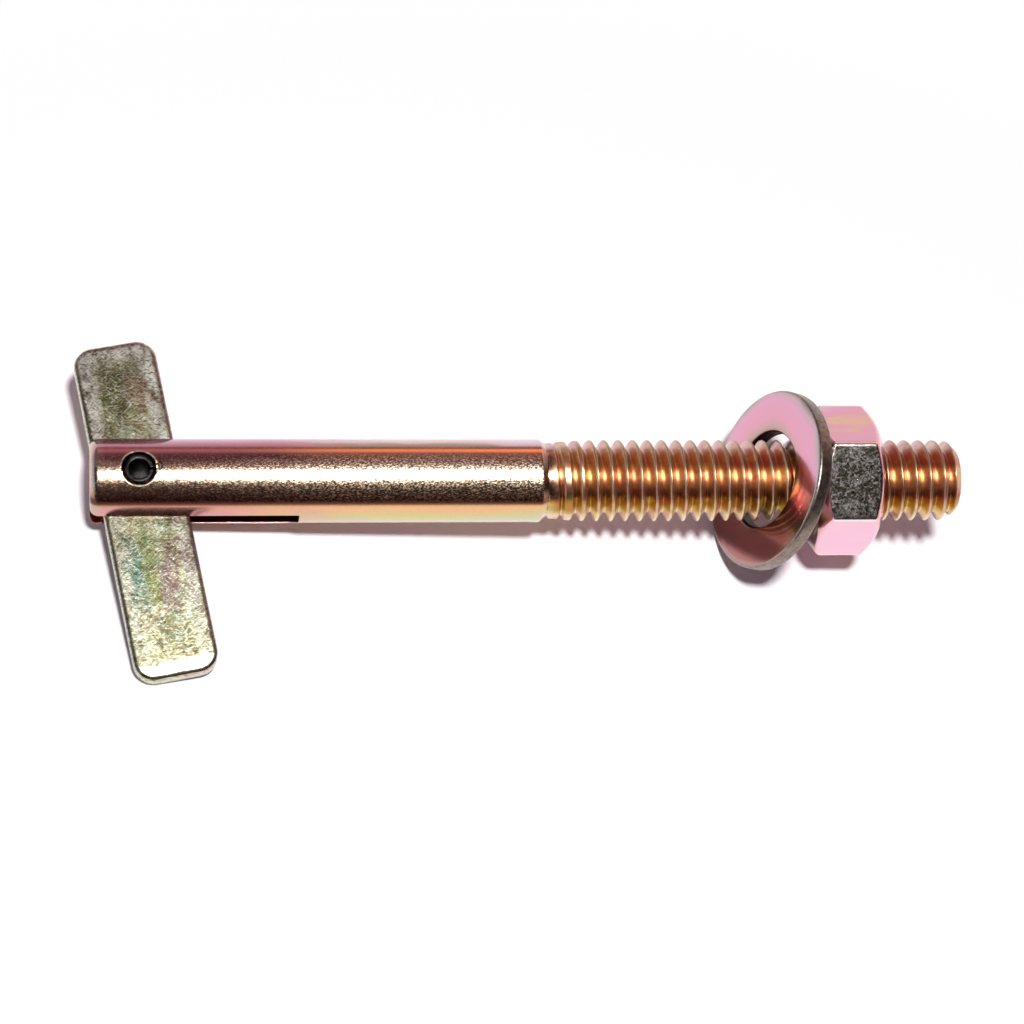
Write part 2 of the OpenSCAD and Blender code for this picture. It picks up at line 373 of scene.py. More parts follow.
def stud_part(name, x):
    """Closed turned part of the stud over the given rows."""
    around = np.linspace(0, 2 * math.pi, AROUND, endpoint=False)
    points = turned(x, stud_radius(x[:, None], around[None, :]), AROUND)
    rows = len(x)
    ends = [tuple(range(AROUND))[::-1], tuple(range((rows - 1) * AROUND, rows * AROUND))]
    return new_object(name, points, grid_faces(rows, AROUND) + ends)


def by_hole(p):
    """True on the rim of the stud's cross hole."""
    return math.hypot(p.x - PIVOT_FROM_TIP, p.y) < CROSS_HOLE_R + 0.05 and abs(p.z) > CHEEK_Z


def make_stud():
    """Stud with its slot, cross hole and thread; the front is cut before the thread is joined on."""
    tip = TIP_ROUND * (1 - np.cos(np.linspace(0, math.pi / 2, 9)))
    stud = stud_part("stud_with_fork", np.concatenate([tip, [3, 6, 12, 18, 24, SPLIT_X]]))
    cut(stud, slot_cutter())
    cut(stud, drill(CROSS_HOLE_R, PIVOT_FROM_TIP))
    break_edges(stud, HOLE_LIP, by_hole, segments=3)
    break_edges(stud, SLOT_LIP, lambda p: p.x < SLOT_LENGTH + 1 and not by_hole(p) and abs(p.z) < CHEEK_Z)
    cut(stud, dent_cutter())
    thread_x = np.arange(SHANK_END - 2 * EDGE_ROUNDING, STUD_LENGTH, PITCH / ROWS_PER_TURN)
    rear = stud_part("stud_rear", np.concatenate([[SPLIT_X, 36], thread_x, [STUD_LENGTH]]))
    join_at_split(stud, rear)
    return stud


def join_at_split(stud, rear):
    """Takes the facing ends off the two parts of the stud and welds them together."""
    work = bmesh.new()
    work.from_mesh(stud.data)
    work.from_mesh(rear.data)
    lids = [f for f in work.faces if all(abs(v.co.x / MM - SPLIT_X) < 0.001 for v in f.verts)]
    bmesh.ops.delete(work, geom=lids, context="FACES_ONLY")
    bmesh.ops.remove_doubles(work, verts=work.verts, dist=WELD_MM * MM)
    bmesh.ops.recalc_face_normals(work, faces=work.faces)
    work.to_mesh(stud.data)
    work.free()
    bpy.data.objects.remove(rear)


def stud_normals(points):
    """Exact normals of the stud's turned outside at points in mm, and how far off it each point is."""
    x, y, z = points.T
    around = np.arctan2(z, y)
    radius = stud_radius(x, around)
    step = 0.002
    along = (stud_radius(x + step, around) - stud_radius(x - step, around)) / (2 * step)
    across = (stud_radius(x, around + step) - stud_radius(x, around - step)) / (2 * step) / radius
    cos, sin = np.cos(around), np.sin(around)
    normal = np.stack([-along, cos + across * sin, sin - across * cos], axis=1)
    return normal / np.linalg.norm(normal, axis=1)[:, None], np.abs(np.hypot(y, z) - radius)


def set_normals(stud, place):
    """Shades the stud by its exact outside, and its large cut faces flat."""
    mesh = stud.data
    count = len(mesh.loops)
    vertex = np.empty(count, int)
    mesh.loops.foreach_get("vertex_index", vertex)
    normals = np.empty(count * 3)
    mesh.corner_normals.foreach_get("vector", normals)
    normals = normals.reshape(-1, 3)
    faces = len(mesh.polygons)
    sizes, areas, facing = np.empty(faces, int), np.empty(faces), np.empty(faces * 3)
    mesh.polygons.foreach_get("loop_total", sizes)
    mesh.polygons.foreach_get("area", areas)
    mesh.polygons.foreach_get("normal", facing)
    facing = np.repeat(facing.reshape(-1, 3), sizes, axis=0)
    large = np.repeat(areas > FLAT_AREA_MM2 * MM * MM, sizes)
    normals[large] = facing[large]
    points = np.empty(len(mesh.vertices) * 3)
    mesh.vertices.foreach_get("co", points)
    turn = np.array(place.to_3x3())
    own = (points.reshape(-1, 3) - np.array(place.translation)) @ turn / MM
    exact, off = stud_normals(own)
    exact, off = (exact @ turn.T)[vertex], off[vertex]
    outside = (off < ON_OUTSIDE_MM) & (np.sum(exact * facing, axis=1) > 0.75)
    normals[outside] = exact[outside]
    mesh.normals_split_custom_set(normals.tolist())


def bar_ring(inset, side_points=24, corner_points=10):
    """Outline of the bar moved in by inset: a rectangle with round corners."""
    half_length = (SHORT_ARM + LONG_ARM) / 2 - inset
    half_width = max(BAR_WIDTH / 2 - inset, 0)
    corner = max(BAR_CORNER - inset, 0)
    middle = (LONG_ARM - SHORT_ARM) / 2
    points = []
    for quarter, (sx, sy) in enumerate(((1, 1), (-1, 1), (-1, -1), (1, -1))):
        centre = (middle + sx * (half_length - corner), sy * (half_width - corner))
        points += arc(centre, corner, 90 * quarter, 90 * quarter + 90, corner_points)
    outline = []
    for i, point in enumerate(points):
        outline.append(point)
        if i % corner_points == corner_points - 1:
            following = np.array(points[(i + 1) % len(points)])
            steps = np.linspace(0, 1, side_points + 2)[1:-1]
            outline += [tuple(np.array(point) + t * (following - np.array(point))) for t in steps]
    return np.array(outline)


def bar_top(points, inset):
    """Height of the bar's punched side: rolled over at the outline, drooping at the long arm's end."""
    share = np.clip(1 - inset / ROLL_OVER, 0, 1)
    roll = ROLL_DEPTH * (1 - np.sqrt(1 - 0.98 * share ** 2))
    droop = END_DROOP * np.clip(1 - (LONG_ARM - points[:, 0]) / END_DROOP_RUN, 0, 1) ** 2
    return BAR_THICKNESS / 2 - roll - droop


def make_bar():
    """Bar from rings of its outline: outwards over its punched side, then inwards on its burr side."""
    half_width = BAR_WIDTH / 2
    insets = np.concatenate([np.linspace(0, ROLL_OVER, 9), np.linspace(ROLL_OVER, half_width, 12)[1:]])
    rings = []
    for inset in insets[::-1]:
        outline = bar_ring(inset)
        rings.append(np.column_stack([outline, bar_top(outline, inset)]))
    for inset in (0, 0.1, BURR_SIDE, 1.2, half_width):
        outline = bar_ring(inset)
        drop = BURR_SIDE * (1 - math.sqrt(1 - max(1 - inset / BURR_SIDE, 0) ** 2))
        rings.append(np.column_stack([outline, np.full(len(outline), drop - BAR_THICKNESS / 2)]))
    bar = new_object("cross_bar", np.array(rings), grid_faces(len(rings), len(rings[0])))
    weld(bar)
    cut(bar, drill(BAR_HOLE_R))
    return bar


def make_pin(columns=72):
    """Rolled sleeve: its section swept round from one edge of the slit to the other."""
    half, inner = PIN_LENGTH / 2, PIN_R - PIN_WALL
    section = np.array([
        (inner, -half), (PIN_R - PIN_CHAMFER, -half), (PIN_R, PIN_CHAMFER - half),
        (PIN_R, half - PIN_CHAMFER), (PIN_R - PIN_CHAMFER, half), (inner, half)])
    gap = math.asin(PIN_SLIT / 2 / PIN_R)
    around = np.linspace(gap, 2 * math.pi - gap, columns)
    points = [[(r * math.cos(a), r * math.sin(a), z) for r, z in section] for a in around]
    corners = len(section)
    faces = grid_faces(columns, corners)
    faces += [tuple(range(corners)), tuple(range((columns - 1) * corners, columns * corners))[::-1]]
    pin = new_object("rolled_pin", np.array(points), faces)
    weld(pin)
    break_edges(pin, PIN_EDGE, lambda p: True)
    return pin


def make_washer(columns=160):
    """Ring with its section's corners rounded."""
    half = WASHER_THICKNESS / 2
    inset = WASHER_ROUNDING
    outer, inner = WASHER_R - inset, WASHER_HOLE_R + inset
    centres = ((half - inset, outer), (inset - half, outer), (inset - half, inner), (half - inset, inner))
    section = []
    for quarter, centre in enumerate(centres):
        section += arc(centre, inset, 90 * quarter, 90 * quarter + 90, 7)
    x, radius = np.array(section).T
    points = turned(x, radius, columns)
    washer = new_object("round_washer", points, grid_faces(len(points), columns, closed_rows=True))
    weld(washer)
    return washer


def nut_outer_radius(x, around):
    """Radius of the nut's outside: six flats, turned down to a round face at both ends."""
    sector = math.pi / 3
    from_flat = (around % sector) - sector / 2
    flats = smooth_min(NUT_FLATS / 2 / np.cos(from_flat), NUT_CORNER_R, NUT_CORNER_ROUNDING)
    to_end = np.minimum(x, NUT_HEIGHT - x)
    return smooth_min(flats, NUT_FACE_R + to_end / math.tan(CHAMFER_ANGLE), NUT_ROUNDING)


def make_nut(columns=360):
    """Nut from x = 0 to its height, with a corner on the Y axis."""
    around = np.linspace(0, 2 * math.pi, columns, endpoint=False)[None, :]
    near = np.concatenate([np.linspace(0, 1.3, 27), np.linspace(1.3, NUT_HEIGHT / 2, 8)[1:]])
    side_x = np.concatenate([near, NUT_HEIGHT - near[-2::-1]])
    side_r = nut_outer_radius(side_x[:, None], around)
    sink = NUT_COUNTERSINK
    inner_x = [NUT_HEIGHT, NUT_HEIGHT, NUT_HEIGHT - sink, sink, 0, 0]
    mouth = NUT_BORE_R + sink
    inner_r = [NUT_FACE_INNER_R, mouth, NUT_BORE_R, NUT_BORE_R, mouth, NUT_FACE_INNER_R]
    x = np.concatenate([side_x, inner_x])
    radius = np.concatenate([side_r, np.repeat(np.array(inner_r)[:, None], columns, axis=1)])
    faces = grid_faces(len(x), columns, closed_rows=True)
    nut = new_object("chamfered_nut", turned(x, radius, columns), faces)
    weld(nut)
    return nut


class Nodes:
    """Short calls for building one node tree."""

    def __init__(self, tree):
        self.tree = tree
        tree.nodes.clear()

    def feed(self, socket, source):
        """Links a socket to its source, or sets its value."""
        if isinstance(source, bpy.types.NodeSocket):
            self.tree.links.new(source, socket)
        elif source is not None:
            socket.default_value = source

    def add(self, kind, *sources, **settings):
        """Adds a node, feeds its inputs in order, and returns it."""
        made = self.tree.nodes.new("ShaderNode" + kind)
        for key, value in settings.items():
            setattr(made, key, value)
        for socket, source in zip(made.inputs, sources):
            self.feed(socket, source)
        return made

    def math(self, operation, *sources):
        return self.add("Math", *sources, operation=operation).outputs[0]

    def times(self, *values):
        """Product of two or more values."""
        product = values[0]
        for value in values[1:]:
            product = self.math("MULTIPLY", product, value)
        return product

    def vector(self, operation, *sources):
        made = self.add("VectorMath", *sources, operation=operation)
        return made.outputs["Value" if operation in ("DOT_PRODUCT", "LENGTH") else "Vector"]

    def axes(self, vector):
        return self.add("SeparateXYZ", vector).outputs

    def noise(self, place, scale, detail=2.0, roughness=0.5, distortion=0.0):
        made = self.add("TexNoise")
        for name, value in (("Vector", place), ("Scale", scale), ("Detail", detail),
                            ("Roughness", roughness), ("Distortion", distortion)):
            self.feed(made.inputs[name], value)
        return made.outputs[0]

    def mix(self, factor, a, b, blend="MIX"):
        """Colour a with as much of colour b as the factor says."""
        made = self.add("Mix", data_type="RGBA", blend_type=blend)
        for index, source in ((0, factor), (6, a), (7, b)):
            if isinstance(source, tuple):
                source = (*source, 1.0)
            self.feed(made.inputs[index], source)
        return made.outputs[2]

    def span(self, value, low, high, new_low=0.0, new_high=1.0):
        """Value from low to high stretched to run from new_low to new_high, and held at both ends."""
        return self.add("MapRange", value, low, high, new_low, new_high).outputs[0]

    def ramp(self, value, stops):
        """Colours along a value, from (place, colour) stops."""
        made = self.add("ValToRGB", value)
        elements = made.color_ramp.elements
        while len(elements) < len(stops):
            elements.new(0.5)
        for element, (place, colour) in zip(elements, stops):
            element.position = place
            element.color = (*colour, 1.0)
        return made.outputs[0]

    def own_place(self, place):
        """The piece's own coordinates in mm, undoing the place that it was put in."""
        made = self.add("Mapping", self.add("TexCoord").outputs["Object"], vector_type="TEXTURE")
        made.inputs["Location"].default_value = place.translation
        made.inputs["Rotation"].default_value = place.to_euler()
        made.inputs["Scale"].default_value = (MM, MM, MM)
        return made.outputs[0]

    def facing(self, place, direction):
        """How far the surface faces a direction of the piece's own frame: 1 towards it, -1 away."""
        normal = self.add("TexCoord").outputs["Normal"]
        return self.vector("DOT_PRODUCT", normal, tuple(place.to_3x3() @ Vector(direction).normalized()))

    def grain(self, place, size, turn=(0.0, 0.0, 0.0), detail=2.0, roughness=0.6):
        """Noise of a size in mm along each axis, with the axes turned."""
        made = self.add("Mapping", place, vector_type="TEXTURE")
        made.inputs["Rotation"].default_value = turn
        made.inputs["Scale"].default_value = size
        return self.noise(made.outputs[0], 1.0, detail, roughness)

    def strokes(self, place, size, lean, headings):
        """Highest, lowest and mean of grains laid in several headings of a plane that leans about X."""
        plane = Matrix.Rotation(lean, 3, "X")
        sets = []
        for heading in headings:
            turn = plane @ Matrix.Rotation(math.radians(heading), 3, "Z")
            sets.append(self.grain(place, size, turn.to_euler(), 2.0, 0.55))
        high, low, total = sets[0], sets[0], sets[0]
        for one in sets[1:]:
            high = self.math("MAXIMUM", high, one)
            low = self.math("MINIMUM", low, one)
            total = self.math("ADD", total, one)
        return high, low, self.times(total, 1 / len(sets))

    def patch(self, place, centre, size, wobble):
        """1 inside a flat oval of the piece, fading out around it with a wobbling outline."""
        made = self.add("Mapping", place, vector_type="TEXTURE")
        made.inputs["Location"].default_value = (*centre, 0)
        made.inputs["Scale"].default_value = (*size, 1)
        reach = self.vector("LENGTH", self.vector("MULTIPLY", made.outputs[0], (1, 1, 0)))
        return self.span(self.math("ADD", reach, wobble), 1.3, 0.5)

    def metal(self, colour, roughness, height, depth):
        """Closes the tree with a metal whose bump is height times depth, in mm."""
        shader = self.add("BsdfPrincipled")
        shader.inputs["Metallic"].default_value = 1.0
        self.feed(shader.inputs["Base Color"], colour)
        self.feed(shader.inputs["Roughness"], roughness)
        bump = self.add("Bump")
        bump.inputs["Strength"].default_value = 1.0
        bump.inputs["Distance"].default_value = depth * MM
        self.feed(bump.inputs["Height"], height)
        self.feed(shader.inputs["Normal"], bump.outputs[0])
        self.add("OutputMaterial", shader.outputs[0])


def new_material(name):
    """Empty material, and the calls that build its nodes."""
    made = bpy.data.materials.new(name)
    made.use_nodes = True
    return made, Nodes(made.node_tree)


def stud_fields(n, place):
    """Where a point lies along and around the stud, and the noises that its plating follows."""
    own = n.own_place(place)
    x, _, z = n.axes(own)
    outward = n.vector("MULTIPLY", own, (0, 1, 1))
    radial = n.vector("NORMALIZE", outward)
    height = n.vector("DOT_PRODUCT", radial, UPPER_SIDE)
    around = n.span(height, -1.0, 1.0)
    drift = n.grain(own, (12.0, 3.3, 3.3), roughness=0.5)
    on_thread = n.span(x, SHANK_END, SHANK_END + 1.5)
    flecked = n.times(
        n.span(around, 0.20, 0.26, 0.1, 1.0), n.span(around, 0.84, 0.78, 0.1, 1.0),
        n.span(on_thread, 0.0, 1.0, 1.0, 0.1), n.span(x, 5.0, 24.0, 0.45, 1.0))
    return SimpleNamespace(
        place=place, own=own, x=x, z=z, radius=n.vector("LENGTH", outward), height=height, around=around,
        level=n.math("ADD", around, n.span(drift, 0.3, 0.7, -0.04, 0.04)),
        hidden=n.span(n.vector("DOT_PRODUCT", radial, SEEN_SIDE), 0.0, -0.3),
        drift=drift, on_thread=on_thread, flecks=n.grain(own, (0.24, 0.09, 0.09)), flecked=flecked)


def shank_tint(n, s):
    """Tints of the plain shank: mauve by the tip, orange, yellow and lilac bands towards the thread, and a
    painted orange reflection line.
    """
    from_tip = n.math("ADD", s.x, n.span(s.drift, 0.3, 0.7, -6.0, 6.0))
    by_tip, by_thread = n.ramp(s.level, TIP_TINTS), n.ramp(s.level, SHANK_TINTS_AND_SHADE)
    tint = n.mix(n.span(from_tip, 14.0, 27.0), by_tip, by_thread)
    # Painted reflection: an orange line with a softer orange glow around it.
    from_line = n.math("ABSOLUTE", n.math("SUBTRACT", s.height, PAINTED_REFLECTION_LINE))
    reflection_glow = n.times(n.span(from_line, 0.12, 0.06), n.span(s.x, 12.0, 24.0), 0.6)
    tint = n.mix(reflection_glow, tint, (0.60, 0.28, 0.16))
    broken = n.span(s.drift, 0.3, 0.6, 0.5, 1.0)
    line = n.times(n.span(from_line, 0.05, 0.015), n.span(s.x, 14.0, 26.0), broken)
    tint = n.mix(line, tint, (1.0, 0.40, 0.18))
    on_tip = n.span(s.x, 1.8 * TIP_ROUND, 0.6 * TIP_ROUND, 0.0, 0.8)
    return n.mix(on_tip, tint, (0.56, 0.44, 0.34))


def fleck_stud(n, s, colour):
    """Dark and bright flecks of the shank's turned surface."""
    dark = n.times(n.span(s.flecks, 0.47, 0.36, 0.0, 0.7), s.flecked)
    bright = n.times(n.span(s.flecks, 0.55, 0.64, 0.0, 0.5), s.flecked)
    return n.mix(bright, n.mix(dark, colour, (0.16, 0.12, 0.08)), (1.0, 0.90, 0.70))


def blush_thread(n, s, colour):
    """Red and golden drifts on the thread, and painted shade in the neck groove before it."""
    crimson = n.times(
        n.span(s.x, 56.0, 64.0), n.span(s.around, 0.66, 0.72), n.span(s.around, 0.96, 0.90), 0.5)
    colour = n.mix(crimson, colour, (0.46, 0.12, 0.10))
    blush = n.grain(s.own, (1.5, 1.1, 1.1))
    red = n.times(n.span(blush, 0.50, 0.66, 0.0, 0.5), s.on_thread)
    colour = n.mix(red, colour, (0.58, 0.17, 0.13))
    gold = n.times(n.span(blush, 0.46, 0.34, 0.0, 0.4), s.on_thread)
    colour = n.mix(gold, colour, (0.80, 0.62, 0.22))
    # Painted shade in the neck groove between the shank and the thread.
    neck = n.times(
        n.span(s.x, SHANK_END, SHANK_END + 0.15), n.span(s.x, NECK_START + 0.5, NECK_START + 0.1),
        n.span(s.around, 0.24, 0.34), n.span(s.around, 0.94, 0.80), 0.85)
    return n.mix(neck, colour, (0.24, 0.13, 0.09))


def tint_hidden(n, s, colour):
    """Plainer tints of the stud's hidden side and flat ends, and painted shade in dark red on the walls of
    its slot.
    """
    colour = n.mix(n.times(s.hidden, 0.9), colour, n.ramp(s.drift, HIDDEN_TINTS))
    flat_end = n.span(n.math("ABSOLUTE", n.facing(s.place, (1, 0, 0))), 0.94, 0.98)
    end_tint = n.mix(n.span(s.drift, 0.35, 0.65), (0.74, 0.56, 0.36), (0.72, 0.50, 0.44))
    colour = n.mix(flat_end, colour, end_tint)
    # Painted shade: the walls of the slot darker and redder.
    half_slot = SLOT_WIDTH / 2
    in_slot = n.times(
        n.span(n.math("ABSOLUTE", s.z), half_slot + 0.05, half_slot + 0.01),
        n.span(s.radius, SHANK_R - 0.05, SHANK_R - 0.12), n.math("LESS_THAN", s.x, SLOT_LENGTH + 0.05))
    return n.mix(in_slot, colour, (0.48, 0.14, 0.11))


def hole_lip_wear_and_highlight(n, s):
    """1 on the lip of the cross hole."""
    from_middle = n.vector("SUBTRACT", s.own, (PIVOT_FROM_TIP, 0, 0))
    from_hole = n.vector("LENGTH", n.vector("MULTIPLY", from_middle, (1, 1, 0)))
    return n.times(n.span(from_hole, CROSS_HOLE_R + 0.24, CROSS_HOLE_R + 0.14),
                   n.span(from_hole, CROSS_HOLE_R, CROSS_HOLE_R + 0.06))


def wear_stud(n, s, colour, rim):
    """Bare lip of the cross hole with a painted highlight, painted shade in the dent beside it, and rubbed
    crests of the thread with painted light.
    """
    # Pale lip of the cross hole: worn bare metal, and partly a painted highlight.
    colour = n.mix(n.times(rim, 0.8), colour, (0.88, 0.76, 0.52))
    # Painted shade: the dent beside the cross hole near black.
    from_dent = n.vector("LENGTH", n.vector("SUBTRACT", s.own, (DENT_X, DENT_Y, SHANK_R)))
    colour = n.mix(n.span(from_dent, DENT_R + 0.02, DENT_R - 0.10), colour, (0.06, 0.05, 0.05))
    # Rubbed crests of the thread with painted light: paler on the lower side, olive on the upper.
    crest = n.times(n.span(s.radius, CREST_R - 0.10, CREST_R - 0.03), s.on_thread)
    crest_wear_and_highlight = n.mix(n.span(s.around, 0.2, 0.4), (0.82, 0.76, 0.66), (0.42, 0.34, 0.20))
    return n.mix(n.times(crest, n.span(s.around, 0.55, 0.70, 0.4, 0.8)), colour, crest_wear_and_highlight)


def stud_plating(place):
    """Turned steel in yellow zinc: the tint changes around the stud and along it."""
    material, n = new_material("stud_plating")
    s = stud_fields(n, place)
    rim = hole_lip_wear_and_highlight(n, s)
    colour = n.mix(s.on_thread, shank_tint(n, s), n.ramp(s.level, THREAD_TINTS))
    colour = fleck_stud(n, s, colour)
    # Painted shade: darker bands around the stud multiply the tints.
    bands = n.mix(s.on_thread, n.ramp(s.around, SHANK_PAINTED_SHADE), n.ramp(s.around, THREAD_PAINTED_SHADE))
    colour = n.mix(1.0, colour, bands, "MULTIPLY")
    colour = tint_hidden(n, s, blush_thread(n, s, colour))
    colour = wear_stud(n, s, colour, rim)
    stains = n.span(n.grain(s.own, (0.5, 0.4, 0.4)), 0.3, 0.7, 0.13, 0.21)
    dull = n.times(n.span(s.flecks, 0.48, 0.64, 0.0, 0.24), s.flecked)
    dull = n.math("MAXIMUM", dull, n.math("MAXIMUM", n.times(s.on_thread, 0.15), n.times(rim, 0.2)))
    relief = n.times(n.span(s.flecks, 0.48, 0.72), s.flecked)
    n.metal(colour, n.math("ADD", stains, dull), relief, STUD_BUMP)
    return material


def bar_tint(n, own, cloud, wobble):
    """Olive ground of the bar with tinted patches and slow changes of hue."""
    colour = n.mix(n.span(cloud, 0.35, 0.65), (0.34, 0.31, 0.12), (0.53, 0.54, 0.31))
    for centre, size, tint in BAR_PATCHES:
        colour = n.mix(n.times(n.patch(own, centre, size, wobble), 0.9), colour, tint)
    hue = n.noise(own, 0.9, 2.0, 0.5, 0.6)
    colour = n.mix(n.span(hue, 0.46, 0.32, 0.0, 0.35), colour, (0.24, 0.42, 0.30))
    return n.mix(n.span(hue, 0.54, 0.68, 0.0, 0.35), colour, (0.58, 0.36, 0.34))


def bar_edge(n, own, cloud, wobble, colour):
    """Pale ring inside the bar's outline, and a brown border on its rolled edge."""
    x, y, _ = n.axes(own)
    from_middle = n.math("ABSOLUTE", n.math("SUBTRACT", x, (LONG_ARM - SHORT_ARM) / 2))
    to_end = n.math("SUBTRACT", (LONG_ARM + SHORT_ARM) / 2, from_middle)
    to_side = n.math("SUBTRACT", BAR_WIDTH / 2, n.math("ABSOLUTE", y))
    inset = n.math("SMOOTH_MIN", to_end, to_side, 1.2)
    pale = n.times(n.span(inset, 2.0, 1.2), n.span(inset, 0.3, 0.6), n.span(cloud, 0.32, 0.50))
    ring = n.mix(n.span(x, -4.0, 4.0), (1.0, 1.0, 0.84), (0.70, 0.70, 0.58))
    colour = n.mix(n.times(pale, n.span(x, -4.0, 4.0, 1.0, 0.5)), colour, ring)
    border = n.span(n.math("ADD", inset, n.times(wobble, 0.25)), 0.40, 0.12)
    return n.mix(border, colour, n.mix(n.span(y, -1.0, 3.0), (0.60, 0.56, 0.38), (0.62, 0.48, 0.42)))


def bar_plating(place):
    """Rolled strip in mottled yellow zinc, with short slanting strokes and a brown rolled border."""
    material, n = new_material("bar_plating")
    own = n.own_place(place)
    cloud = n.grain(own, (1.6, 1.2, 1.2), detail=3.0)
    wobble = n.span(cloud, 0.25, 0.75, -0.6, 0.6)
    colour = bar_edge(n, own, cloud, wobble, bar_tint(n, own, cloud, wobble))
    high, low, strokes = n.strokes(own, (0.55, 0.10, 0.4), 0.0, (125, 40, 85))
    colour = n.mix(n.span(low, 0.42, 0.33, 0.0, 0.9), colour, (0.12, 0.09, 0.03))
    colour = n.mix(n.span(high, 0.59, 0.67, 0.0, 0.85), colour, n.mix(0.75, colour, (1.0, 1.0, 0.88)))
    tangled = n.noise(own, 2.8, 3.0, 0.65, 1.4)
    relief = n.math("ADD", strokes, n.times(tangled, 0.6))
    n.metal(colour, n.span(cloud, 0.3, 0.7, 0.20, 0.26), relief, BAR_BUMP)
    return material


def washer_plating(place):
    """Smooth stamped steel in pink zinc, olive towards both edges, with a rough brown rim, and painted shade
    on its lower side and in its hole.
    """
    material, n = new_material("washer_plating")
    own = n.own_place(place)
    radius = n.vector("LENGTH", n.vector("MULTIPLY", own, (0, 1, 1)))
    drift = n.noise(own, 0.22)
    spread = n.math("ADD", radius, n.span(drift, 0.3, 0.7, -0.35, 0.35))
    face = n.ramp(n.span(spread, WASHER_HOLE_R, WASHER_R), WASHER_TINTS)
    grain = n.grain(own, (0.4, 0.4, 0.4), detail=3.0)
    on_rim = n.span(radius, WASHER_R - 0.22, WASHER_R - 0.08)
    rim = n.mix(n.span(grain, 0.35, 0.65), (0.19, 0.14, 0.11), (0.34, 0.28, 0.23))
    # Painted shade: the lower side of the washer darkened to dark wine.
    upward = n.math("ADD", n.vector("DOT_PRODUCT", own, WASHER_UP), n.span(drift, 0.3, 0.7, -1.5, 1.5))
    lower_painted_shade = n.times(n.span(upward, 0.5, -2.5), n.span(spread, 8.8, 8.2))
    face = n.mix(n.times(lower_painted_shade, 0.85), face, (0.34, 0.145, 0.115))
    # Painted shade: the wall of the hole near black.
    hole_wall_painted_shade = n.span(radius, WASHER_HOLE_R + 0.18, WASHER_HOLE_R + 0.06)
    colour = n.mix(hole_wall_painted_shade, n.mix(on_rim, face, rim), (0.035, 0.025, 0.02))
    dull = n.times(n.math("MAXIMUM", on_rim, hole_wall_painted_shade), 0.2)
    roughness = n.math("ADD", n.span(grain, 0.3, 0.7, 0.12, 0.17), dull)
    relief = n.times(grain, n.span(on_rim, 0.0, 1.0, 0.08, 0.6))
    n.metal(colour, roughness, relief, WASHER_BUMP)
    return material


def pink_flats(n, own, place):
    """Pink zinc with orange drifts, the lower flat paler as a painted reflection, and olive on the chamfer by
    the washer.
    """
    tint = n.ramp(n.grain(own, (6.0, 2.5, 2.5), roughness=0.5), NUT_TINTS)
    lower = n.facing(place, (0, 0, 1))
    # Painted reflection: the lower flat paler.
    tint = n.mix(n.span(lower, 0.6, 0.9, 0.0, 0.75), tint, (0.86, 0.58, 0.71))
    chamfer = n.times(n.span(n.facing(place, (-1, 0, 0)), 0.15, 0.4), n.span(lower, 0.65, 0.45), 0.9)
    return n.mix(chamfer, tint, (0.34, 0.29, 0.22))


def painted_dark_flats(n, own, pits, high, low):
    """Painted reflection of the dark room: dark grey steel with pits and clusters of bright scratches."""
    worn = n.math("ADD", pits, n.span(n.noise(own, 0.55), 0.3, 0.7, -0.06, 0.06))
    tint = n.mix(n.span(worn, 0.46, 0.62), (0.09, 0.08, 0.04), (0.70, 0.62, 0.58))
    cluster = n.span(n.noise(own, 0.7), 0.46, 0.58, 0.1, 1.0)
    tint = n.mix(n.times(n.span(high, 0.58, 0.64), cluster), tint, (1.0, 0.92, 0.90))
    return n.mix(n.span(low, 0.40, 0.32, 0.0, 0.8), tint, (0.06, 0.05, 0.04))


def nut_plating(place):
    """Pressed steel in pink zinc, worn at its corners; one pair of flats has pits and scratches, and a
    painted reflection of the dark room in dark grey.
    """
    material, n = new_material("nut_plating")
    own = n.own_place(place)
    pits = n.noise(own, 3.0, 3.0, 0.65, 1.0)
    high, low, scratches = n.strokes(own, (0.6, 0.09, 0.3), -math.pi / 3, (15, 75, 140))
    front_flat = (0, math.cos(math.pi / 6), 0.5)
    # Painted reflection: the flats facing front and back painted dark grey; their pits and scratches are bump
    # and wear.
    pits_and_painted_dark = n.span(n.math("ABSOLUTE", n.facing(place, front_flat)), 0.80, 0.95)
    colour = n.mix(pits_and_painted_dark, pink_flats(n, own, place), painted_dark_flats(n, own, pits, high, low))
    radius = n.vector("LENGTH", n.vector("MULTIPLY", own, (0, 1, 1)))
    colour = n.mix(n.span(radius, *NUT_WORN_R, 0.0, 0.8), colour, (0.90, 0.84, 0.80))
    relief = n.math("ADD", n.times(pits, 0.5), scratches)
    relief = n.times(relief, n.span(pits_and_painted_dark, 0.0, 1.0, 0.06, 1.0))
    roughness = n.math("ADD", n.span(pits, 0.3, 0.7, 0.10, 0.15), n.times(pits_and_painted_dark, 0.08))
    n.metal(colour, roughness, relief, NUT_BUMP)
    return material


def dark_steel(place):
    """Oiled spring steel of the rolled pin."""
    material, n = new_material("pin_steel")
    own = n.own_place(place)
    stains = n.noise(own, 1.4, 3.0, 0.6)
    roughness = n.span(stains, 0.3, 0.7, 0.28, 0.5)
    n.metal(n.ramp(stains, PIN_TINTS), roughness, n.noise(own, 5.0, 2.0), PIN_BUMP)
    return material


